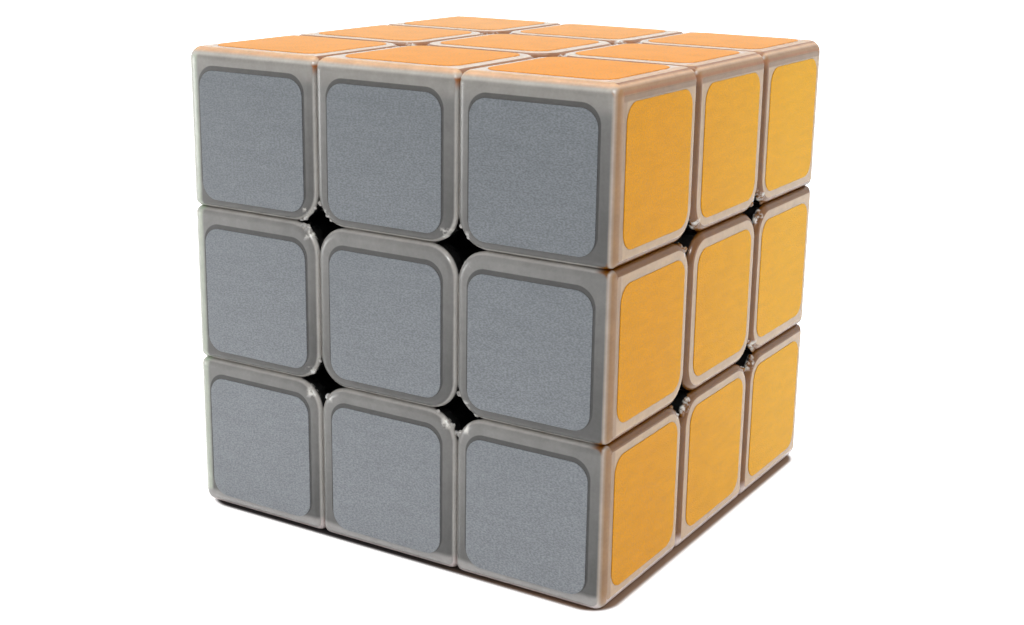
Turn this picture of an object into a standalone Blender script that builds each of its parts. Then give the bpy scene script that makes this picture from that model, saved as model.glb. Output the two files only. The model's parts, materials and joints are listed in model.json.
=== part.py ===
"""A twisty cube puzzle with three equal layers, in metres, +Z up.

Frosted shells and caps cover black feet and bases. The feet run in a round track
under their neighbours, and the bases turn on a core that has a screw and a spring
for each face. The cube stands on its bottom face, centred on the origin.
"""

from itertools import combinations, product
from math import cos, pi, radians, sin

import bmesh
import bpy
from mathutils import Matrix, Vector

MM = 0.001

# Outside
CUBE_SIDE = 57.0 * MM
LAYER_GAP = 0.3 * MM  # between neighbours that slide past each other
CORNER_ROUND = 3.7 * MM  # corners that open the diamond-shaped gaps
RIM_ROUND = 1.0 * MM  # rims of the faces

# Shells and caps
SHELL_WALL = 2.2 * MM
PLUG_DEPTH = 1.0 * MM  # inner step that keys a shell into its foot
SPIGOT_DEPTH = 1.6 * MM  # ring under a cap, pressed into the base
SPIGOT_WALL = 1.0 * MM
SEAT_GAP = 0.3 * MM  # between pieces that rest on or press into each other

# Feet and their track
FOOT_WALL = 1.4 * MM
FOOT_DEPTH = 5.0 * MM
TRACK_ROOF_DEPTH = 7.5 * MM  # from a face's middle down to the track

# Screws, springs and stalks, along the axis of each face
SCREW_RADIUS = 1.4 * MM
HEAD_HEIGHT = 1.4 * MM
HEAD_SINK = 1.2 * MM  # head below the base's top
SPRING_WIRE = 0.6 * MM
SPRING_SLACK = 0.8 * MM  # between screw and spring
SPRING_LENGTH = 6.6 * MM
SPRING_TURNS = 4
POCKET_SLACK = 0.3 * MM  # round the spring, the head and the screw
STALK_WALL = 1.0 * MM
STALK_FLOOR = 1.5 * MM

# Core
CORE_RADIUS = 9.5 * MM
ARM_RADIUS = 3.8 * MM

# Facets
CORNER_FACETS = 4
HIDDEN_FACETS = 2
RIM_FACETS = 2
TRACK_FACETS = 20
CORE_FACETS = 16
ROUND_FACETS = 12
TURN_POINTS = 8
SMOOTH_ANGLE = radians(40)

# Worked out from the sizes above; distances run from the cube's middle
HALF_SIDE = CUBE_SIDE / 2
CUT = CUBE_SIDE / 6
BLOCK_NEAR = CUT + LAYER_GAP / 2
BLOCK_REACH = CUT - LAYER_GAP / 2
SHELL_UNDER = HALF_SIDE - SHELL_WALL
FOOT_TOP = SHELL_UNDER - SEAT_GAP

SPRING_RADIUS = SCREW_RADIUS + SPRING_SLACK + SPRING_WIRE / 2
HEAD_RADIUS = SPRING_RADIUS + SPRING_WIRE / 2
POCKET_RADIUS = HEAD_RADIUS + POCKET_SLACK
STALK_RADIUS = POCKET_RADIUS + STALK_WALL
SPIGOT_RADIUS = POCKET_RADIUS + SPIGOT_WALL

HEAD_TOP = FOOT_TOP - HEAD_SINK
HEAD_UNDER = HEAD_TOP - HEAD_HEIGHT
SPRING_TOP = HEAD_UNDER - SEAT_GAP
SPRING_FOOT = SPRING_TOP - SPRING_LENGTH
POCKET_END = SPRING_FOOT - SEAT_GAP
STALK_END = POCKET_END - STALK_FLOOR
ARM_END = STALK_END - SEAT_GAP

TRACK_ROOF = HALF_SIDE - TRACK_ROOF_DEPTH
ROOF_UNDER = TRACK_ROOF + LAYER_GAP / 2
FOOT_OUTER = TRACK_ROOF - LAYER_GAP / 2
FOOT_INNER = FOOT_OUTER - FOOT_DEPTH
TRACK_NEAR = STALK_RADIUS + LAYER_GAP

PAST = 5 * MM  # how far a cutter runs past what it cuts
OVERLAP = 0.5 * MM  # how far joined shapes sink into each other

X, Y, Z = Vector((1, 0, 0)), Vector((0, 1, 0)), Vector((0, 0, 1))
FACES = {"right": X, "left": -X, "back": Y, "front": -Y, "top": Z, "bottom": -Z}
CENTRE_MATING = [X, -X, Y, -Y]
EDGE_MATING = [X, -X, -Y, -Z]
CORNER_MATING = [-X, -Y, -Z]


# Scene


def clear_scene():
    for obj in list(bpy.data.objects):
        bpy.data.objects.remove(obj)


def add_collection(name):
    collection = bpy.data.collections.new(name)
    bpy.context.scene.collection.children.link(collection)
    return collection


def plastic(name, colour, roughness, metallic=0.0):
    material = bpy.data.materials.new(name)
    material.use_nodes = True
    shader = material.node_tree.nodes["Principled BSDF"]
    shader.inputs["Base Color"].default_value = (*colour, 1.0)
    shader.inputs["Roughness"].default_value = roughness
    shader.inputs["Metallic"].default_value = metallic
    return material


def add_empty(name, parent=None):
    empty = bpy.data.objects.new(name, None)
    empty.parent = parent
    PARTS.objects.link(empty)
    return empty


# Working shapes, which are joined and cut into the meshes of the pieces


def shape(name, bm):
    mesh = bpy.data.meshes.new(name)
    bmesh.ops.recalc_face_normals(bm, faces=bm.faces)
    bm.to_mesh(mesh)
    bm.free()
    obj = bpy.data.objects.new(name, mesh)
    obj.hide_render = True
    obj.display_type = "WIRE"
    WORK.objects.link(obj)
    return obj


def box_mesh(low, high):
    bm = bmesh.new()
    bmesh.ops.create_cube(bm, size=1.0)
    low, high = Vector(low), Vector(high)
    size = Matrix.Diagonal((*(high - low), 1.0))
    bm.transform(Matrix.Translation((low + high) / 2) @ size)
    return bm


def box(name, low, high):
    return shape(name, box_mesh(low, high))


def rounded_block(name, low, high, mating, corner, facets, rim=0.0):
    """A box whose mating faces meet in round corners, with a rim along its other edges."""
    bm = box_mesh(low, high)
    bm.normal_update()
    round_edges = [
        edge for edge in bm.edges
        if all(any(face.normal.dot(way) > 0.9 for way in mating) for face in edge.link_faces)
    ]
    bevel(bm, round_edges, corner, facets)
    if rim:
        bm.normal_update()
        bevel(bm, [edge for edge in bm.edges if edge.calc_face_angle() > SMOOTH_ANGLE], rim, RIM_FACETS)
    return shape(name, bm)


def bevel(bm, edges, width, segments):
    bmesh.ops.bevel(
        bm, geom=edges, offset=width, offset_type="OFFSET", segments=segments,
        profile=0.5, affect="EDGES", clamp_overlap=True,
    )


def ball(name, radius, facets, pole=Z):
    bm = bmesh.new()
    turn = Z.rotation_difference(pole).to_matrix().to_4x4()
    bmesh.ops.create_uvsphere(bm, u_segments=facets, v_segments=facets // 2, radius=radius, matrix=turn)
    return shape(name, bm)


def ball_around(name, radius, pole):
    """A ball whose flat facets clear this radius, to cut room for a round piece that turns."""
    return ball(name, radius / cos(pi / TRACK_FACETS) ** 2, TRACK_FACETS, pole)


def rod(name, radius, start, end, way=Z):
    """A cylinder along one axis through the cube's middle."""
    bm = bmesh.new()
    turn = Z.rotation_difference(way).to_matrix().to_4x4()
    bmesh.ops.create_cone(
        bm, cap_ends=True, segments=ROUND_FACETS, radius1=radius, radius2=radius, depth=end - start,
        matrix=turn @ Matrix.Translation(Z * (start + end) / 2),
    )
    return shape(name, bm)


def combine(target, operation, tool):
    modifier = target.modifiers.new(tool.name, "BOOLEAN")
    modifier.operation = operation
    modifier.solver = "EXACT"
    modifier.object = tool
    return target


def cut(target, tool):
    return combine(target, "DIFFERENCE", tool)


def join(target, tool):
    return combine(target, "UNION", tool)


def finished_mesh(obj, name):
    """The shape's mesh with its cuts and joins made, smooth but for its sharp edges."""
    bpy.context.view_layer.update()
    evaluated = obj.evaluated_get(bpy.context.evaluated_depsgraph_get())
    mesh = bpy.data.meshes.new_from_object(evaluated)
    mesh.name = name
    mesh.shade_smooth()
    mesh.set_sharp_from_angle(angle=SMOOTH_ANGLE)
    return mesh


# Shells: the outside walls of a corner or an edge, with a plug that keys into the foot


def outer_block(name, low, mating):
    return rounded_block(name, low, reach(low, HALF_SIDE), mating, CORNER_ROUND, CORNER_FACETS, RIM_ROUND)


def inside(low, wall):
    """The low corner moved in by a wall on every mating side."""
    return Vector(value + wall for value in low)


def reach(low, top):
    """The high corner of a block that spans its row, or ends at this height below the outside."""
    return Vector(top if value > 0 else -value for value in low)


def below(name, low, top):
    """A cutter for all that lies below this height, out past the block's sides."""
    near = Vector(0.0 if value > 0 else value - PAST for value in low)
    far = Vector(top if value > 0 else PAST - value for value in low)
    return box(name, near, far)


def shell_mesh(name, low, mating):
    shell = outer_block(name + "_block", low, mating)
    cut(shell, below(name + "_inside", low, SHELL_UNDER))
    plug_low = inside(low, FOOT_WALL + SEAT_GAP)
    plug_round = CORNER_ROUND - FOOT_WALL - SEAT_GAP
    plug_high = reach(plug_low, SHELL_UNDER + OVERLAP)
    plug = rounded_block(name + "_plug", plug_low, plug_high, mating, plug_round, HIDDEN_FACETS)
    cut(plug, below(name + "_plug_inside", low, SHELL_UNDER - PLUG_DEPTH))
    return finished_mesh(join(shell, plug), name)


# Feet: the walls between neighbours, hollow, and the hook in the track


def hook(name, low, pole):
    """The part of the track's round space that lies past the neighbours' stalks."""
    hook_shape = box(name + "_hook", low, reach(low, HALF_SIDE))
    combine(hook_shape, "INTERSECT", ball(name + "_hook_outside", FOOT_OUTER, TRACK_FACETS, pole))
    return cut(hook_shape, ball(name + "_hook_inside", FOOT_INNER, TRACK_FACETS, pole))


def foot_walls(name, low, mating):
    walls = rounded_block(name + "_walls", low, reach(low, FOOT_TOP), mating, CORNER_ROUND, HIDDEN_FACETS)
    room_low = inside(low, FOOT_WALL)
    room_round = CORNER_ROUND - FOOT_WALL
    room_high = reach(room_low, FOOT_TOP + PAST)
    room = rounded_block(name + "_room", room_low, room_high, mating, room_round, HIDDEN_FACETS)
    return walls, room


def corner_foot_mesh(name, low):
    walls, room = foot_walls(name, low, CORNER_MATING)
    cut(walls, room)
    return finished_mesh(join(walls, hook(name, Vector([TRACK_NEAR] * 3), Z)), name)


def edge_foot_mesh(name, low):
    """The walls end in a roof over the track, where the corners' hooks pass."""
    walls, room = foot_walls(name, low, EDGE_MATING)
    cut(walls, ball_around(name + "_track", ROOF_UNDER, X))
    cut(room, ball_around(name + "_roof", ROOF_UNDER + FOOT_WALL, X))
    cut(walls, room)
    hook_low = Vector((-STALK_RADIUS, TRACK_NEAR, TRACK_NEAR))
    join(walls, hook(name, hook_low, X))
    return finished_mesh(join(walls, neck(name)), name)


def neck(name):
    """What joins an edge's hook to the roof above it, between the corners' hooks."""
    low = Vector((OVERLAP - STALK_RADIUS, BLOCK_NEAR + OVERLAP, BLOCK_NEAR + OVERLAP))
    neck_shape = box(name + "_neck", low, reach(low, HALF_SIDE))
    combine(neck_shape, "INTERSECT", ball_around(name + "_neck_top", ROOF_UNDER + FOOT_WALL / 2, X))
    return cut(neck_shape, ball(name + "_neck_foot", FOOT_OUTER - FOOT_DEPTH / 2, TRACK_FACETS, X))


# Centres


def centre_cap_mesh(name):
    low = Vector((-BLOCK_REACH, -BLOCK_REACH, CUT))
    cap = outer_block(name + "_block", low, CENTRE_MATING)
    cut(cap, below(name + "_inside", low, SHELL_UNDER))
    ring = rod(name + "_spigot", SPIGOT_RADIUS, SHELL_UNDER - SPIGOT_DEPTH, SHELL_UNDER + OVERLAP)
    cut(ring, rod(name + "_spigot_inside", POCKET_RADIUS, 0.0, SHELL_UNDER))
    return finished_mesh(join(cap, ring), name)


def centre_base_mesh(name):
    low = Vector((-BLOCK_REACH, -BLOCK_REACH, CUT))
    high = reach(low, FOOT_TOP)
    base = rounded_block(name + "_block", low, high, CENTRE_MATING, CORNER_ROUND, HIDDEN_FACETS)
    cut(base, ball_around(name + "_track", ROOF_UNDER, X))
    join(base, rod(name + "_stalk", STALK_RADIUS, STALK_END, FOOT_TOP - OVERLAP))
    counterbore_end = SHELL_UNDER - SPIGOT_DEPTH - SEAT_GAP
    cut(base, rod(name + "_counterbore", SPIGOT_RADIUS + SEAT_GAP, counterbore_end, HALF_SIDE))
    cut(base, rod(name + "_pocket", POCKET_RADIUS, POCKET_END, HALF_SIDE))
    cut(base, rod(name + "_screw_hole", SCREW_RADIUS + POCKET_SLACK, 0.0, HALF_SIDE))
    return finished_mesh(base, name)


# Core, with the screws that are driven into its arms


def core_mesh(name):
    core = ball(name + "_ball", CORE_RADIUS, CORE_FACETS)
    for axis in (X, Y, Z):
        join(core, rod(name + "_arms", ARM_RADIUS, -ARM_END, ARM_END, axis))
        join(core, rod(name + "_shanks", SCREW_RADIUS, -HEAD_TOP + OVERLAP, HEAD_TOP - OVERLAP, axis))
    for way in FACES.values():
        join(core, rod(name + "_head", HEAD_RADIUS, HEAD_UNDER, HEAD_TOP, way))
    return finished_mesh(core, name)


# Springs


def spring_curve(name):
    """An open helix of wire between the screw's head and the pocket's end."""
    rise = SPRING_LENGTH - SPRING_WIRE
    steps = SPRING_TURNS * TURN_POINTS
    points = []
    for step in range(steps + 1):
        angle = 2 * pi * step / TURN_POINTS
        height = SPRING_FOOT + SPRING_WIRE / 2 + rise * step / steps
        points.append(Vector((SPRING_RADIUS * cos(angle), SPRING_RADIUS * sin(angle), height)))
    half_turn = TURN_POINTS // 2
    apart = [
        (points[i] - points[j]).length
        for i in range(steps + 1) for j in range(i + half_turn, steps + 1)
    ]
    print(f"spring: least gap between turns {(min(apart) - SPRING_WIRE) / MM:.2f} mm")
    curve = bpy.data.curves.new(name, "CURVE")
    curve.dimensions = "3D"
    curve.bevel_depth = SPRING_WIRE / 2
    curve.bevel_resolution = 1
    curve.use_fill_caps = True
    spline = curve.splines.new("POLY")
    spline.points.add(steps)
    for target, point in zip(spline.points, points):
        target.co = (*point, 1.0)
    return curve


# Placing the pieces


def layer_of(ways):
    if Z in ways:
        return TOP_LAYER
    if -Z in ways:
        return BOTTOM_LAYER
    return MIDDLE_LAYER


def place(name, data, material, layer, columns):
    """A piece with its origin in the cube's middle, whose own axes point along these columns."""
    obj = bpy.data.objects.new(name, data)
    if not data.materials:
        data.materials.append(material)
    obj.parent = layer
    obj.rotation_euler = Matrix(columns).transposed().to_euler()
    PARTS.objects.link(obj)


def centre_columns(way):
    side = X if abs(way.dot(X)) < 0.5 else Y
    return (side, way.cross(side), way)


def edge_columns(first, second):
    return (first.cross(second), first, second)


def corner_columns(ways):
    first, second, third = ways
    if first.cross(second).dot(third) < 0:
        first, second = second, first
    return (first, second, third)


def build_core():
    place("core_with_screws", core_mesh("core"), CORE_PLASTIC, MIDDLE_LAYER, (X, Y, Z))


def build_centres():
    cap = centre_cap_mesh("centre_cap")
    base = centre_base_mesh("centre_base")
    spring = spring_curve("spring")
    for face, way in FACES.items():
        columns = centre_columns(way)
        place("centre_cap_" + face, cap, FROSTED_PLASTIC, layer_of([way]), columns)
        place("centre_base_" + face, base, BLACK_PLASTIC, layer_of([way]), columns)
        place("spring_" + face, spring, SPRING_STEEL, MIDDLE_LAYER, columns)


def build_edges():
    low = Vector((-BLOCK_REACH, BLOCK_NEAR, BLOCK_NEAR))
    shell = shell_mesh("edge_shell", low, EDGE_MATING)
    foot = edge_foot_mesh("edge_foot", low)
    for (face, way), (next_face, next_way) in combinations(reversed(FACES.items()), 2):
        if way.dot(next_way):
            continue
        place_pair("edge", [face, next_face], shell, foot, [way, next_way], edge_columns(way, next_way))


def build_corners():
    low = Vector([BLOCK_NEAR] * 3)
    shell = shell_mesh("corner_shell", low, CORNER_MATING)
    foot = corner_foot_mesh("corner_foot", low)
    for faces in product(("top", "bottom"), ("front", "back"), ("left", "right")):
        ways = [FACES[face] for face in faces]
        place_pair("corner", faces, shell, foot, ways, corner_columns(ways))


def place_pair(kind, faces, shell, foot, ways, columns):
    where = "_".join(faces)
    place(f"{kind}_shell_{where}", shell, FROSTED_PLASTIC, layer_of(ways), columns)
    place(f"{kind}_foot_{where}", foot, BLACK_PLASTIC, layer_of(ways), columns)


def remove_work():
    for obj in list(WORK.objects):
        bpy.data.objects.remove(obj)
    bpy.data.collections.remove(WORK)


clear_scene()
PARTS = add_collection("twisty_cube")
WORK = add_collection("cutters")

FROSTED_PLASTIC = plastic("frosted_plastic", (0.55, 0.53, 0.51), 0.45)
BLACK_PLASTIC = plastic("black_plastic", (0.012, 0.012, 0.013), 0.4)
CORE_PLASTIC = plastic("core_plastic", (0.03, 0.03, 0.032), 0.5)
SPRING_STEEL = plastic("spring_steel", (0.6, 0.6, 0.6), 0.3, metallic=1.0)

MIDDLE_LAYER = add_empty("middle_layer")
MIDDLE_LAYER.location.z = HALF_SIDE
TOP_LAYER = add_empty("top_layer", MIDDLE_LAYER)
BOTTOM_LAYER = add_empty("bottom_layer", MIDDLE_LAYER)

build_core()
build_centres()
build_edges()
build_corners()
remove_work()
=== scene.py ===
"""The looks of a twisty cube puzzle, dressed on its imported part, in metres, +Z up.

Frosted shells with rounded stickers stand over the black feet and bases of the part.
"""

import json
from itertools import combinations
from math import cos, pi, radians, sin
from random import Random

import bmesh
import bpy
from mathutils import Matrix, Quaternion, Vector, noise


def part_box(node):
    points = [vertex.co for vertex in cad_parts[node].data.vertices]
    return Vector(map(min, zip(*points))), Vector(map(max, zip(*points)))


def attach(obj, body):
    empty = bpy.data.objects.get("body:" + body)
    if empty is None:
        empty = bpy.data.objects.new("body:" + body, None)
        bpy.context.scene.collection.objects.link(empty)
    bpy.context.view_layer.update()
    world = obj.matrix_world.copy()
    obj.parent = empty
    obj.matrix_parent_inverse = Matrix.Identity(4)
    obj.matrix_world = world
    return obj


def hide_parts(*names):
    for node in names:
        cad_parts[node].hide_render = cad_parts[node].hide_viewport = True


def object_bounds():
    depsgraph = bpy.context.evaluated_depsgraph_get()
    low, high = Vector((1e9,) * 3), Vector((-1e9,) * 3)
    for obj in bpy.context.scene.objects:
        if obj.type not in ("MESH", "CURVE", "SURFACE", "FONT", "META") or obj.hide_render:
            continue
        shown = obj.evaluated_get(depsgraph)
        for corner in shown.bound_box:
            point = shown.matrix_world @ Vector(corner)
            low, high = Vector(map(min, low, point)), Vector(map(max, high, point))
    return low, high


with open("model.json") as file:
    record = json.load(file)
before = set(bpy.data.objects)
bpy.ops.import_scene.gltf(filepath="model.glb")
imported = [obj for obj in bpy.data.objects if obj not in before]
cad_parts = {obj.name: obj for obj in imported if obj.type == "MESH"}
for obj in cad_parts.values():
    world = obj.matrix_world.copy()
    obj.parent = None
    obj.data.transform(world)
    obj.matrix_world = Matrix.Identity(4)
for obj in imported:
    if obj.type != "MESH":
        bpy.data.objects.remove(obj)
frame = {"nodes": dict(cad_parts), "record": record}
CAD_LOW, CAD_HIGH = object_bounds()

MM = 0.001

# The cube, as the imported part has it
MIDDLE = (CAD_LOW + CAD_HIGH) / 2
HALF = (CAD_HIGH.x - CAD_LOW.x) / 2
CUT = HALF / 3
CORNER_ROUND = 3.7 * MM
RIM_ROUND = 1.0 * MM
EDGE_ROUND = 1.5 * MM  # along the cube's own edges
SHELL_WALL = 2.2 * MM
PLUG_INSET = 1.7 * MM
PLUG_DEPTH = 1.0 * MM
SPIGOT_RADIUS = 4.1 * MM
SPIGOT_WALL = 1.0 * MM
SPIGOT_DEPTH = 1.6 * MM
OVERLAP = 0.5 * MM
PAST = 5.0 * MM
GAP_FILL = 0.13 * MM  # closes the gaps between neighbours to their real width

# Stickers
STICKER_HALF = 7.63 * MM
STICKER_ROUND = 2.05 * MM
STICKER_THICK = 0.08 * MM
STICKER_EDGE = 0.04 * MM
STICKER_PITCH = 18.79 * MM
FRONT_DROP = 0.55 * MM  # the front's stickers sit low
STICKER_LIFT = 0.005 * MM

# The painted shadow line along the front's stickers: its shift, and where it fades out past their outline
SHADOW_SHIFT = (0.07 * MM, 0.0, 0.34 * MM - FRONT_DROP)
SHADOW_START = 0.16 * MM
SHADOW_END = 0.3 * MM

# Moulding nubs, left where the shells were cut from their runners
NUB_COUNTS = (0, 2, 3, 4)
NUB_SMALL = 0.2 * MM
NUB_LARGE = 0.42 * MM
NUB_SHALLOW = 0.5 * MM
NUB_DEEP = 1.0 * MM
NUB_SWING = radians(28)
NUB_SINK = 0.1 * MM
NUB_ROUGH = 0.5
NUB_DIVISIONS = 3
SEED = 7

# Facets
CORNER_FACETS = 10
RIM_FACETS = 6
HIDDEN_FACETS = 4
ROUND_FACETS = 32
STICKER_FACETS = 10
SHARP = radians(38)
FACING = 0.9  # a side whose normal has at least this share of a face's way looks that way

FACES = {
    "front": Vector((0, -1, 0)),
    "back": Vector((0, 1, 0)),
    "left": Vector((-1, 0, 0)),
    "right": Vector((1, 0, 0)),
    "bottom": Vector((0, 0, -1)),
    "top": Vector((0, 0, 1)),
}


def tone(red, green, blue):
    """A colour from its screen values, 0 to 255."""
    linear = []
    for value in (red, green, blue):
        share = value / 255
        linear.append(share / 12.92 if share <= 0.04045 else ((share + 0.055) / 1.055) ** 2.4)
    return (*linear, 1.0)


# Colours: each face's sticker, and the painted light and shade of the plastic round it and of the rims that
# its colour shines into
STICKER_SLOTS = {
    "front": "sticker_silver",
    "right": "sticker_gold",
    "top": "sticker_orange",
    "left": "sticker_green",
    "bottom": "sticker_red",
    "back": "sticker_blue",
}
STICKER_TONES = {
    "front": tone(148, 152, 157),
    "right": tone(221, 151, 0),
    "top": tone(252, 184, 114),
    "left": tone(64, 158, 84),
    "bottom": tone(178, 40, 46),
    "back": tone(40, 86, 165),
}
# Painted light and shade on the stickers: which way their tone sweeps across a face, and the tone at that
# end
STICKER_LIGHTING_SWEEPS = {
    "front": (Vector((0.3, 0.0, 1.0)), tone(127, 132, 137)),
    "right": (Vector((0.0, 1.0, 0.0)), tone(233, 172, 25)),
    "top": (Vector((0.7, -0.7, 0.0)), tone(250, 164, 62)),
}
# Painted light and shade: each face's margin carries the light that face gets and its stickers' colour
# shining into it
MARGIN_LIGHTING_TONES = {
    "front": tone(116, 115, 113),
    "right": tone(184, 152, 114),
    "top": tone(246, 216, 192),
    "left": tone(196, 206, 192),
    "bottom": tone(190, 172, 172),
    "back": tone(172, 178, 190),
}
# Painted light and shade: the rims and walls below each face take the light through its stickers
TINT_LIGHTING_TONES = {
    "front": tone(180, 177, 173),
    "right": tone(118, 72, 6),
    "top": tone(160, 108, 66),
    "left": tone(176, 190, 170),
    "bottom": tone(215, 202, 200),
    "back": tone(150, 160, 180),
}
# Painted light: the rims along the cube's own edges are paler, tinted by the face beside them
EDGE_LIGHTING_TONES = {
    "back": tone(180, 186, 196),
    "left": tone(204, 212, 198),
    "right": tone(160, 124, 84),
    "top": tone(238, 192, 148),
    "front": tone(200, 196, 189),
}
WALL_TONE = tone(180, 174, 168)
FLASH_TONE = tone(226, 224, 218)
DARK_TONE = tone(24, 24, 24)
BLACK_TONE = tone(22, 22, 23)
CORE_TONE = tone(46, 46, 48)
STEEL_TONE = tone(196, 196, 192)
WHITE = (1.0, 1.0, 1.0, 1.0)

# How the plastic's colour, with its painted light and shade, changes below each face and along the cube's
# edges
SCATTER = 2.0 * MM
SCATTER_SHARES = (1.0, 0.95, 0.9)
FLAT_ENDS = dict.fromkeys(FACES, 0.04 * MM) | {"front": 0.36 * MM, "top": 0.12 * MM}
TINT_START = 1.0 * MM
TINT_END = 2.4 * MM
EDGE_ENDS = dict.fromkeys(FACES, 1.1 * MM) | {"front": 1.5 * MM, "right": 0.85 * MM}
EDGE_SOFT = 0.35 * MM
EDGE_SHARE = 0.85
TURN_ENDS = dict.fromkeys(FACES, 0.7 * MM) | {"front": 0.25 * MM}
# Painted shade, with the black foot seen through the plastic: where the deep walls by the diamond-shaped
# gaps are darkened
DARK_PART = (5.9 * MM, 6.6 * MM)  # from the middle of a cubie
DARK_START = 0.6 * MM
DARK_END = 0.9 * MM
FLASH_PART = (7.4 * MM, 8.0 * MM)  # from the middle of a cubie
FLASH_START = 1.1 * MM
FLASH_END = 0.8 * MM
MARGIN_LIT = (-0.5, 0.0, 1.0)  # painted light: the front's margins are painted palest towards here
MARGIN_LIGHTING_FADE = (0.56, 1.48)

# Strips of painted light and shade on a face's margin: the face, the face beside it, the tone, how far in
# it is full and where it ends
LIGHTING_STRIPS = (
    ("front", "top", tone(154, 151, 146), 2.0 * MM, 3.6 * MM),
    ("front", "left", tone(188, 194, 181), 1.5 * MM, 2.0 * MM),
    ("right", "front", tone(160, 126, 90), 1.9 * MM, 2.2 * MM),
    ("front", "bottom", tone(170, 167, 165), 1.5 * MM, 2.2 * MM),
    ("right", "top", tone(134, 98, 56), 1.8 * MM, 2.1 * MM),
    ("top", "right", tone(222, 178, 134), 1.7 * MM, 2.3 * MM),
)

# Patterns: sizes, how far each shades the colour, and the roughness that goes with it
COARSE_DETAIL = 2.0
FINE_DETAIL = 3.0
MARK_DETAIL = 4.0
CLOUD_SIZE = 2.2 * MM
CLOUD_SHADE = (0.8, 1.2)
SPECK_SIZE = 0.35 * MM
SPECK_SHADE = (0.88, 1.12)
SHADOW_SHADE = (1.0, 0.24)
FLASH_SIZE = 0.7 * MM
FLASH_LEVELS = (0.42, 0.62)
FROST_SIZE = 0.12 * MM
FROST_DEPTH = 0.003 * MM
FROST_ROUGH = (0.16, 0.3)
GRAIN_SIZE = 0.27 * MM
GRAIN_STRETCH = (1.0, 1.0, 1.9)
GRAIN_LEVELS = (0.3, 0.7)
GRAIN_SHADES = dict.fromkeys(FACES, (0.89, 1.11)) | {"front": (0.78, 1.22)}
GRAIN_DEPTH = 0.02 * MM
GRAIN_ROUGH = (0.42, 0.62)
STREAK_SIZE = 1.3 * MM
STREAK_STRETCH = (0.35, 0.35, 1.6)
STREAK_SHADE = (0.9, 1.1)
MOULD_CLOUD_SIZE = 5.0 * MM
MOULD_CLOUD_SHADE = (0.75, 1.3)
MOULD_SIZE = 0.2 * MM
MOULD_DEPTH = 0.01 * MM
BLACK_ROUGH = (0.3, 0.5)
CORE_ROUGH = (0.4, 0.6)
MARK_SIZE = 0.15 * MM
MARK_SHADE = (0.8, 1.15)
MARK_DEPTH = 0.006 * MM
MARK_ROUGH = (0.22, 0.42)
FROSTED_IOR = 1.49
MOULDED_IOR = 1.5
VINYL_SPECULAR = 0.18

# Studio: the floor with the painted shadow line where the cube stands, the world, the lamps and the camera
FLOOR_HALF = 3.0
FLOOR_ROUGH = 0.9
FLOOR_TONE = tone(250, 250, 250)
# Painted shadow: the dark line where the cube stands on the floor, warm towards the right side
CONTACT_SHADOW_TONE = tone(42, 36, 37)
WARM_SHADOW_TONE = tone(142, 114, 92)
CONTACT_SHIFT = (0.25 * MM, 0.2 * MM, 0.0)
CONTACT_ROUND = 3.5 * MM
CONTACT_START = -0.4 * MM
CONTACT_END = 0.3 * MM
GLOW_START = -0.2 * MM
GLOW_END = 0.75 * MM
WORLD_LIGHT = 0.36
MIRRORED_RAYS = ("Is Glossy Ray", "Is Transmission Ray")
LAMPS = (  # the name, the place, the side of the square and the power
    ("key", Vector((0.46, -0.38, 0.6)), 0.2, 2.4),
    ("top", Vector((-0.1, 0.1, 0.8)), 0.6, 2.4),
    ("fill", Vector((-0.24, -0.14, 0.01)), 0.12, 0.26),
    ("side", Vector((0.26, 0.14, 0.02)), 0.12, 0.09),
)
CAMERA_PLACE = Vector((95.9, -158.6, 75.5)) * MM
CAMERA_AIM = Vector((0.0, -1.1, 26.7)) * MM
CAMERA_ROLL = radians(0.89)
CAMERA_LENS = 52.65
CAMERA_SHIFT = -0.029
CAMERA_NEAR = 0.01


# Shaders


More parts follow.
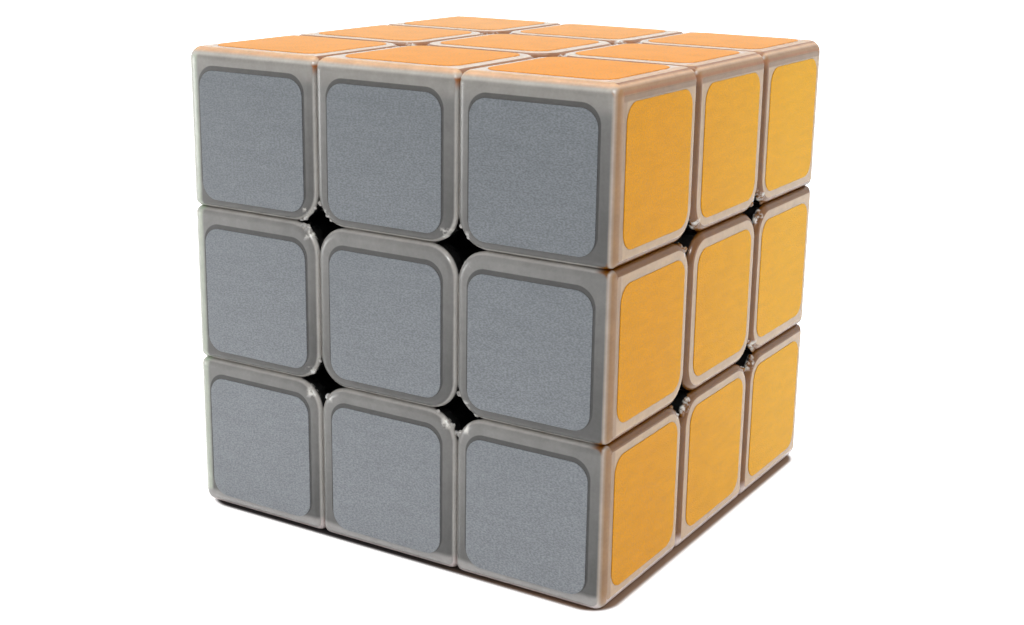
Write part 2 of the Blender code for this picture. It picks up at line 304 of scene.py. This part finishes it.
class Shader:
    """One material's nodes. The methods add nodes and give back the output of the last one."""

    def __init__(self, name, constants):
        self.material = bpy.data.materials.new(name)
        self.material.use_nodes = True
        self.tree = self.material.node_tree
        self.surface = self.tree.nodes["Principled BSDF"]
        self.set(self.surface, constants)

    def set(self, node, values):
        for key, value in values.items():
            socket = node.inputs[key]
            if isinstance(value, bpy.types.NodeSocket):
                self.tree.links.new(value, socket)
            else:
                socket.default_value = value

    def add(self, kind, values, output=0, **settings):
        node = self.tree.nodes.new("ShaderNode" + kind)
        for key, value in settings.items():
            setattr(node, key, value)
        self.set(node, values)
        return node.outputs[output]

    def finish(self, **values):
        self.set(self.surface, {key.replace("_", " "): value for key, value in values.items()})
        return self.material

    def place(self):
        """Where a point lies from the cube's middle, on the resting piece."""
        return self.vector("SUBTRACT", self.add("TexCoord", {}, "Object"), MIDDLE)

    def number(self, operation, first, second=0.0):
        return self.add("Math", {0: first, 1: second}, operation=operation)

    def vector(self, operation, first, second=(0.0, 0.0, 0.0), third=(0.0, 0.0, 0.0), output="Vector"):
        return self.add("VectorMath", {0: first, 1: second, 2: third}, output, operation=operation)

    def ease(self, value, start, end):
        """0 at the start and 1 at the end, smooth between."""
        values = {"Value": value, "From Min": start, "From Max": end}
        return self.add("MapRange", values, interpolation_type="SMOOTHSTEP")

    def span(self, value, low, high, start=0.0, end=1.0):
        """A value from start to end, spread from low to high."""
        values = {"Value": value, "From Min": start, "From Max": end, "To Min": low, "To Max": high}
        return self.add("MapRange", values)

    def along(self, vector, way):
        return self.vector("DOT_PRODUCT", vector, way, output="Value")

    def part(self, vector, axis):
        return self.add("SeparateXYZ", {"Vector": vector}, axis)

    def blend(self, share, first, second, how="MIX"):
        values = {0: share, 6: first, 7: second}
        return self.add("Mix", values, 2, data_type="RGBA", blend_type=how)

    def noise(self, place, size, detail=COARSE_DETAIL):
        return self.add("TexNoise", {"Vector": place, "Scale": 1 / size, "Detail": detail})

    def shade(self, colour, value, low, high):
        """The colour times a value that runs from low to high."""
        return self.blend(1.0, colour, self.span(value, low, high), "MULTIPLY")

    def bump(self, height, depth):
        return self.add("Bump", {"Height": height, "Distance": depth, "Strength": 1.0})


def frosted_plastic(name, ragged):
    """Milky plastic with painted light and shade: tinted by the light through the stickers of each face,
    pale along the cube's edges, darkened next to the diamond-shaped gaps and shadowed along the front's
    stickers.
    """
    shader = Shader(name, {
        "Subsurface Weight": 1.0,
        "Subsurface Radius": SCATTER_SHARES,
        "Subsurface Scale": SCATTER,
        "IOR": FROSTED_IOR,
    })
    place = shader.place()
    depths = {}
    for face, way in FACES.items():
        depths[face] = shader.number("SUBTRACT", HALF, shader.along(place, way))
    flats = {face: shader.ease(depths[face], FLAT_ENDS[face], FLAT_ENDS[face] / 2) for face in FACES}
    offset = from_sticker(shader, place)
    # Painted light and shade: the front's margins are palest towards MARGIN_LIT and darkest away from it
    lighting_fade = shader.span(shader.along(offset, MARGIN_LIT), *MARGIN_LIGHTING_FADE, -CUT, CUT)
    margin_lighting = MARGIN_LIGHTING_TONES | {"front": shader.blend(1.0, MARGIN_LIGHTING_TONES["front"], lighting_fade, "MULTIPLY")}

    colour = WALL_TONE
    # Painted light and shade: below each face the plastic takes that face's tint
    for face, depth in depths.items():
        colour = shader.blend(shader.ease(depth, TINT_END, TINT_START), colour, TINT_LIGHTING_TONES[face])
    least = HALF
    for depth in depths.values():
        least = shader.number("MINIMUM", depth, least)
    # Painted shade, with the black foot seen through the plastic: the deep walls by the diamond-shaped gaps
    # are darkened
    dark = near_diamond(shader, place, *DARK_PART)
    dark = shader.number("MULTIPLY", dark, shader.ease(least, DARK_START, DARK_END))
    colour = shader.blend(dark, colour, DARK_TONE)
    # Painted light and shade: each face's margin tone
    for face, flat in flats.items():
        colour = shader.blend(flat, colour, margin_lighting[face])
    # Painted light and shade: strips along a face's margin next to the face beside it
    for face, beside, strip_lighting_tone, start, end in LIGHTING_STRIPS:
        share = shader.number("MULTIPLY", flats[face], shader.ease(depths[beside], end, start))
        colour = shader.blend(share, colour, strip_lighting_tone)

    # Painted light: pale rims along the cube's own edges
    edge = -1.0
    edge_lighting_colour = EDGE_LIGHTING_TONES["front"]
    for face, edge_lighting_tone in EDGE_LIGHTING_TONES.items():
        end, turn = EDGE_ENDS[face], TURN_ENDS[face]
        edge = shader.number("ADD", edge, shader.ease(depths[face], end, end - EDGE_SOFT))
        edge_lighting_colour = shader.blend(shader.ease(depths[face], turn, turn / 3), edge_lighting_colour, edge_lighting_tone)
    edge = shader.span(edge, 0.0, EDGE_SHARE)
    colour = shader.blend(edge, colour, edge_lighting_colour)
    if ragged:
        patch = shader.ease(shader.noise(place, FLASH_SIZE, FINE_DETAIL), *FLASH_LEVELS)
        patch = shader.number("MULTIPLY", patch, near_diamond(shader, place, *FLASH_PART))
        patch = shader.number("MULTIPLY", patch, shader.ease(least, FLASH_START, FLASH_END))
        colour = shader.blend(patch, colour, FLASH_TONE)

    # Painted shadow along the front's stickers, mostly above them
    shadow = shader.number("MULTIPLY", flats["front"], under_sticker(shader, offset))
    colour = shader.shade(colour, shader.noise(place, CLOUD_SIZE, FINE_DETAIL), *CLOUD_SHADE)
    colour = shader.shade(colour, shader.noise(place, SPECK_SIZE, FINE_DETAIL), *SPECK_SHADE)
    colour = shader.shade(colour, shadow, *SHADOW_SHADE)
    frost = shader.noise(place, FROST_SIZE, FINE_DETAIL)
    return shader.finish(
        Base_Color=colour,
        Roughness=shader.span(frost, *FROST_ROUGH),
        Normal=shader.bump(frost, FROST_DEPTH),
    )


def near_diamond(shader, place, start, end):
    """1 next to the diamond-shaped gaps, where pieces meet along two ways at once, else 0."""
    reach = shader.vector("ABSOLUTE", place)
    cell = shader.vector("ABSOLUTE", shader.vector("WRAP", place, [CUT] * 3, [-CUT] * 3))
    meets = []
    for axis in range(3):
        inside = shader.number("LESS_THAN", shader.part(reach, axis), 2 * CUT)
        meets.append(shader.number("MULTIPLY", inside, shader.ease(shader.part(cell, axis), start, end)))
    both = shader.number("MINIMUM", meets[0], meets[1])
    either = shader.number("MAXIMUM", meets[0], meets[1])
    return shader.number("MAXIMUM", both, shader.number("MINIMUM", either, meets[2]))


def from_sticker(shader, place):
    """Where a point lies from the middle of the sticker nearest to it, before the front's drop."""
    cell = shader.vector("DIVIDE", place, [2 * CUT] * 3)
    cell = shader.vector("FLOOR", shader.vector("ADD", cell, [0.5] * 3))
    return shader.vector("SUBTRACT", place, shader.vector("MULTIPLY", cell, [STICKER_PITCH] * 3))


def under_sticker(shader, offset):
    """1 beneath a sticker on the front and in the painted shadow line along its upper edge, else 0."""
    offset = shader.vector("SUBTRACT", offset, SHADOW_SHIFT)
    past = shader.vector("SUBTRACT", shader.vector("ABSOLUTE", offset), [STICKER_HALF - STICKER_ROUND] * 3)
    past = shader.vector("MULTIPLY", shader.vector("MAXIMUM", past), (1.0, 0.0, 1.0))
    distance = shader.vector("LENGTH", past, output="Value")
    return shader.ease(distance, STICKER_ROUND + SHADOW_END, STICKER_ROUND + SHADOW_START)


def sticker_vinyl(name, face):
    """Matt vinyl with a fine grain, whose tone may sweep across the face as painted light and shade."""
    shader = Shader(name, {"Specular IOR Level": VINYL_SPECULAR})
    place = shader.place()
    colour = STICKER_TONES[face]
    # Painted light and shade: the tone sweeps across the face to its end tone
    if face in STICKER_LIGHTING_SWEEPS:
        way, end_tone = STICKER_LIGHTING_SWEEPS[face]
        far = 2 * CUT * sum(map(abs, way))
        colour = shader.blend(shader.span(shader.along(place, way), 0.0, 1.0, -far, far), colour, end_tone)
    grain = shader.noise(shader.vector("MULTIPLY", place, GRAIN_STRETCH), GRAIN_SIZE, FINE_DETAIL)
    grain = shader.ease(grain, *GRAIN_LEVELS)
    streak = shader.noise(shader.vector("MULTIPLY", place, STREAK_STRETCH), STREAK_SIZE)
    colour = shader.shade(colour, grain, *GRAIN_SHADES[face])
    colour = shader.shade(colour, streak, *STREAK_SHADE)
    return shader.finish(
        Base_Color=colour,
        Roughness=shader.span(grain, *GRAIN_ROUGH),
        Normal=shader.bump(grain, GRAIN_DEPTH),
    )


def moulded_plastic(name, colour, rough):
    """Dark moulded plastic with a faint texture."""
    shader = Shader(name, {"IOR": MOULDED_IOR})
    place = shader.place()
    grain = shader.noise(place, MOULD_SIZE, FINE_DETAIL)
    return shader.finish(
        Base_Color=shader.shade(colour, shader.noise(place, MOULD_CLOUD_SIZE), *MOULD_CLOUD_SHADE),
        Roughness=shader.span(grain, *rough),
        Normal=shader.bump(grain, MOULD_DEPTH),
    )


def steel(name, colour):
    """Drawn wire with fine marks."""
    shader = Shader(name, {"Metallic": 1.0})
    marks = shader.noise(shader.place(), MARK_SIZE, MARK_DETAIL)
    return shader.finish(
        Base_Color=shader.shade(colour, marks, *MARK_SHADE),
        Roughness=shader.span(marks, *MARK_ROUGH),
        Normal=shader.bump(marks, MARK_DEPTH),
    )


# Shapes


def box_mesh(low, high):
    bm = bmesh.new()
    bmesh.ops.create_cube(bm, size=1.0)
    bm.transform(Matrix.Translation((low + high) / 2) @ Matrix.Diagonal((*(high - low), 1.0)))
    return bm


def bevel(bm, edges, width, segments):
    bmesh.ops.bevel(
        bm, geom=edges, offset=width, offset_type="OFFSET", segments=segments,
        profile=0.5, affect="EDGES", clamp_overlap=True,
    )


def outer_sides(edge, outer):
    """How many of the two faces at an edge are outside faces."""
    return sum(face.normal.dot(way) > FACING for face in edge.link_faces for way in outer)


def rounded_block(low, high, outer, corner, facets):
    """A box whose inner sides meet in round corners."""
    bm = box_mesh(low, high)
    bm.normal_update()
    bevel(bm, [edge for edge in bm.edges if not outer_sides(edge, outer)], corner, facets)
    bm.normal_update()
    return bm


def with_rims(bm, outer):
    """The block with soft rims, wider along the cube's own edges."""
    weights = bm.edges.layers.float.new("bevel_weight_edge")
    for edge in bm.edges:
        if edge.calc_face_angle() > SHARP:
            edge[weights] = 1.0 if outer_sides(edge, outer) == 2 else RIM_ROUND / EDGE_ROUND
    block = work_object(bm)
    rims = block.modifiers.new("rims", "BEVEL")
    rims.limit_method = "WEIGHT"
    rims.width = EDGE_ROUND
    rims.segments = RIM_FACETS
    return block


def work_object(bm):
    mesh = bpy.data.meshes.new("work")
    bmesh.ops.recalc_face_normals(bm, faces=bm.faces)
    bm.to_mesh(mesh)
    bm.free()
    obj = bpy.data.objects.new("work", mesh)
    bpy.context.scene.collection.objects.link(obj)
    return obj


def combine(target, operation, bm):
    """Cuts from or joins to the target, and gives it back with that done."""
    tool = work_object(bm)
    modifier = target.modifiers.new(operation, "BOOLEAN")
    modifier.operation = operation
    modifier.solver = "EXACT"
    modifier.object = tool
    bpy.context.view_layer.update()
    done = bpy.data.meshes.new_from_object(target.evaluated_get(bpy.context.evaluated_depsgraph_get()))
    target.modifiers.clear()
    target.data = done
    bpy.data.objects.remove(tool)
    return target


def grown(low, high, outer, outer_move, inner_move):
    """A box with its outer sides and its inner sides moved out by these lengths."""
    low, high = low.copy(), high.copy()
    for way in FACES.values():
        move = way * (outer_move if way in outer else inner_move)
        if sum(way) > 0:
            high += move
        else:
            low += move
    return low, high


def cylinder(way, radius, start, end):
    """A cylinder along a face's axis, from start to end above the cube's middle."""
    bm = bmesh.new()
    turn = Vector((0, 0, 1)).rotation_difference(way).to_matrix().to_4x4()
    bmesh.ops.create_cone(
        bm, cap_ends=True, segments=ROUND_FACETS, radius1=radius, radius2=radius, depth=end - start,
        matrix=Matrix.Translation(MIDDLE + way * (start + end) / 2) @ turn,
    )
    return bm


def dress(piece, name, material, body, nodes=()):
    """Names a piece, smooths it, paints it and puts it on its body in place of these nodes."""
    piece.name = name
    piece.data.name = name
    piece.data.shade_smooth()
    piece.data.set_sharp_from_angle(angle=SHARP)
    piece.data.materials.clear()
    piece.data.materials.append(material)
    piece.modifiers.new("even_normals", "WEIGHTED_NORMAL").keep_sharp = True
    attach(piece, body)
    if nodes:
        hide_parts(*nodes)
    return piece


# Shells and caps


def side(low, high, way):
    """How far this side of a box lies from the cube's middle."""
    return ((high if sum(way) > 0 else low) - MIDDLE).dot(way)


def outer_ways(low, high):
    return [way for way in FACES.values() if side(low, high, way) > HALF - OVERLAP]


def hollow_block(low, high, outer):
    """The outside walls of a block, rounded where it meets its neighbours."""
    walls = with_rims(rounded_block(low, high, outer, CORNER_ROUND, CORNER_FACETS), outer)
    return combine(walls, "DIFFERENCE", box_mesh(*grown(low, high, outer, -SHELL_WALL, PAST)))


def add_plug(shell, low, high, outer):
    """The step inside a shell that keys it into its foot."""
    sides = grown(low, high, outer, OVERLAP - SHELL_WALL, -PLUG_INSET)
    plug = work_object(rounded_block(*sides, outer, CORNER_ROUND - PLUG_INSET, HIDDEN_FACETS))
    combine(plug, "DIFFERENCE", box_mesh(*grown(low, high, outer, -SHELL_WALL - PLUG_DEPTH, PAST)))
    bm = bmesh.new()
    bm.from_mesh(plug.data)
    bpy.data.objects.remove(plug)
    combine(shell, "UNION", bm)


def add_spigot(cap, way):
    """The ring under a cap, which is pressed into its base."""
    under = HALF - SHELL_WALL
    ring = work_object(cylinder(way, SPIGOT_RADIUS, under - SPIGOT_DEPTH, under + OVERLAP))
    combine(ring, "DIFFERENCE", cylinder(way, SPIGOT_RADIUS - SPIGOT_WALL, 0.0, under))
    bm = bmesh.new()
    bm.from_mesh(ring.data)
    bpy.data.objects.remove(ring)
    combine(cap, "UNION", bm)


def add_nubs(shell, low, high, outer, draw):
    """Small ragged lumps on the round corners that open the diamond-shaped gaps."""
    inner = [way for way in FACES.values() if way not in outer]
    for face in outer:
        for first, second in combinations(inner, 2):
            if first.dot(second) or first.dot(face) or second.dot(face):
                continue
            middle = MIDDLE + face * HALF
            for way in (first, second):
                middle = middle + way * (side(low, high, way) - CORNER_ROUND)
            for _ in range(draw.choice(NUB_COUNTS)):
                angle = pi / 4 + draw.uniform(-NUB_SWING, NUB_SWING)
                outward = first * cos(angle) + second * sin(angle)
                depth = face * draw.uniform(NUB_SHALLOW, NUB_DEEP)
                radius = draw.uniform(NUB_SMALL, NUB_LARGE)
                combine(shell, "UNION", nub(middle - depth + outward * (CORNER_ROUND - NUB_SINK), radius))


def nub(middle, radius):
    bm = bmesh.new()
    bmesh.ops.create_icosphere(bm, subdivisions=NUB_DIVISIONS, radius=radius)
    for vert in bm.verts:
        vert.co *= 1 + NUB_ROUGH * noise.noise((vert.co + middle) / radius)
    bm.transform(Matrix.Translation(middle))
    return bm


def build_shells(material):
    draw = Random(SEED)
    for node in sorted(BODY_OF):
        kind, _, where = node.partition("_shell_")
        if not where:
            continue
        low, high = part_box(node)
        outer = outer_ways(low, high)
        low, high = grown(low, high, outer, 0.0, GAP_FILL)
        shell = hollow_block(low, high, outer)
        add_plug(shell, low, high, outer)
        add_nubs(shell, low, high, outer, draw)
        dress(shell, f"frosted_{kind}_{where}", material, BODY_OF[node], [node])


def build_caps(material):
    for face, way in FACES.items():
        node = "centre_cap_" + face
        low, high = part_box(node)
        low, high = grown(low, high, [-way], PAST, 0.0)
        low, high = grown(low, high, [way], 0.0, GAP_FILL)
        cap = hollow_block(low, high, [way])
        add_spigot(cap, way)
        dress(cap, "frosted_cap_" + face, material, BODY_OF[node], [node])


# Stickers


def sticker(way, middle):
    """A thin rounded square that lies on a face, with a soft edge."""
    side_way = Vector((0, 1, 0)) if way.z else Vector((0, 0, 1))
    cross_way = way.cross(side_way)
    bm = bmesh.new()
    loops = []
    below_edge = STICKER_THICK - STICKER_EDGE
    for inset, height in ((0.0, STICKER_LIFT), (0.0, below_edge), (STICKER_EDGE, STICKER_THICK)):
        loop = []
        for across, along in outline(STICKER_HALF - inset, STICKER_ROUND - inset):
            loop.append(bm.verts.new(middle + cross_way * across + side_way * along + way * height))
        loops.append(loop)
    for lower, upper in zip(loops, loops[1:]):
        for index, vert in enumerate(lower):
            bm.faces.new((lower[index - 1], vert, upper[index], upper[index - 1]))
    bm.faces.new(loops[-1])
    bm.faces.new(reversed(loops[0]))
    return work_object(bm)


def outline(half, radius):
    """The points of a square with round corners."""
    points = []
    for corner in range(4):
        angle = corner * pi / 2
        turn = Matrix.Rotation(angle, 2)
        middle = turn @ Vector((half - radius, half - radius))
        for step in range(STICKER_FACETS + 1):
            swing = angle + step * pi / 2 / STICKER_FACETS
            points.append(middle + Vector((cos(swing), sin(swing))) * radius)
    return points


def build_stickers():
    vinyl = {face: sticker_vinyl(slot, face) for face, slot in STICKER_SLOTS.items()}
    for node in sorted(BODY_OF):
        if "_shell_" not in node and "_cap_" not in node:
            continue
        low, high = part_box(node)
        where = node.split("_", 2)[2]
        for face, way in FACES.items():
            if way not in outer_ways(low, high):
                continue
            cell = (low + high) / 2 - MIDDLE
            middle = MIDDLE + way * HALF
            for axis in range(3):
                if not way[axis]:
                    middle[axis] += STICKER_PITCH * round(cell[axis] / (2 * CUT))
            if face == "front":
                middle.z -= FRONT_DROP
            name = f"sticker_{face}.{where}"
            dress(sticker(way, middle), name, vinyl[face], BODY_OF[node])


# Black pieces, core and springs, which keep their solids


def paint_inside():
    black = moulded_plastic("black_plastic", BLACK_TONE, BLACK_ROUGH)
    core = moulded_plastic("core_plastic", CORE_TONE, CORE_ROUGH)
    wire = steel("spring_steel", STEEL_TONE)
    for node, obj in frame["nodes"].items():
        if "_foot_" in node or "_base_" in node:
            material = black
        elif node.startswith("spring_"):
            material = wire
        elif node.startswith("core_"):
            material = core
        else:
            continue
        obj.data.materials.clear()
        obj.data.materials.append(material)


# Studio


def white_floor():
    """A floor that shows as white but for the painted shadow line next to the cube."""
    bm = bmesh.new()
    bmesh.ops.create_grid(bm, x_segments=1, y_segments=1, size=FLOOR_HALF)
    bm.transform(Matrix.Translation((0, 0, CAD_LOW.z - STICKER_THICK - STICKER_LIFT)))
    floor = work_object(bm)
    floor.name = "floor"
    shader = Shader("floor", {"Roughness": FLOOR_ROUGH, "Emission Color": WHITE})
    place = shader.place()
    flat = shader.vector("MULTIPLY", shader.vector("SUBTRACT", place, CONTACT_SHIFT), (1.0, 1.0, 0.0))
    straight = HALF - CONTACT_ROUND
    past = shader.vector("SUBTRACT", shader.vector("ABSOLUTE", flat), (straight, straight, 0.0))
    distance = shader.vector("LENGTH", shader.vector("MAXIMUM", past), output="Value")
    distance = shader.number("SUBTRACT", distance, CONTACT_ROUND)
    rays = shader.tree.nodes.new("ShaderNodeLightPath").outputs
    seen = rays["Is Camera Ray"]
    for kind in MIRRORED_RAYS:
        seen = shader.number("MAXIMUM", seen, rays[kind])
    glow = shader.number("MULTIPLY", seen, shader.ease(distance, GLOW_START, GLOW_END))
    # Painted shadow: a dark line where the cube stands, warm towards its right side
    contact_shadow = shader.ease(distance, CONTACT_END, CONTACT_START)
    warm_shadow_share = shader.ease(shader.part(place, 0), 0.0, HALF)
    floor.data.materials.append(shader.finish(
        Base_Color=shader.blend(contact_shadow, FLOOR_TONE, shader.blend(warm_shadow_share, CONTACT_SHADOW_TONE, WARM_SHADOW_TONE)),
        Emission_Strength=glow,
    ))


def white_world():
    """A world that shows as white and lights the cube softly."""
    world = bpy.data.worlds.new("studio")
    world.use_nodes = True
    bpy.context.scene.world = world
    nodes, links = world.node_tree.nodes, world.node_tree.links
    light = nodes["Background"]
    light.inputs["Strength"].default_value = WORLD_LIGHT
    white = nodes.new("ShaderNodeBackground")
    mix = nodes.new("ShaderNodeMixShader")
    for background in (light, white):
        background.inputs["Color"].default_value = WHITE
    rays = nodes.new("ShaderNodeLightPath").outputs
    seen = rays["Is Camera Ray"]
    for kind in MIRRORED_RAYS:
        either = nodes.new("ShaderNodeMath")
        either.operation = "MAXIMUM"
        links.new(seen, either.inputs[0])
        links.new(rays[kind], either.inputs[1])
        seen = either.outputs[0]
    links.new(seen, mix.inputs["Fac"])
    links.new(light.outputs[0], mix.inputs[1])
    links.new(white.outputs[0], mix.inputs[2])
    links.new(mix.outputs[0], nodes["World Output"].inputs["Surface"])


def softbox(name, place, size, power):
    """A square lamp that faces the cube."""
    data = bpy.data.lights.new(name, "AREA")
    data.size = size
    data.energy = power
    lamp = bpy.data.objects.new(name, data)
    lamp.location = place
    lamp.rotation_euler = (MIDDLE - lamp.location).to_track_quat("-Z", "Y").to_euler()
    bpy.context.scene.collection.objects.link(lamp)


def camera():
    data = bpy.data.cameras.new("camera")
    data.lens = CAMERA_LENS
    data.shift_y = CAMERA_SHIFT
    data.clip_start = CAMERA_NEAR
    view = bpy.data.objects.new("camera", data)
    view.location = CAMERA_PLACE
    look = (CAMERA_AIM - CAMERA_PLACE).to_track_quat("-Z", "Y")
    view.rotation_euler = (look @ Quaternion((0, 0, 1), CAMERA_ROLL)).to_euler()
    bpy.context.scene.collection.objects.link(view)
    bpy.context.scene.camera = view


BODY_OF = {
    node: body
    for body, nodes in frame["record"]["behaviour"]["bodies"].items()
    for node in nodes
}

build_shells(frosted_plastic("frosted_plastic", True))
build_caps(frosted_plastic("frosted_plastic_smooth", False))
build_stickers()
paint_inside()

white_floor()
white_world()
for lamp in LAMPS:
    softbox(*lamp)
camera()
bpy.context.scene.view_settings.view_transform = "Standard"
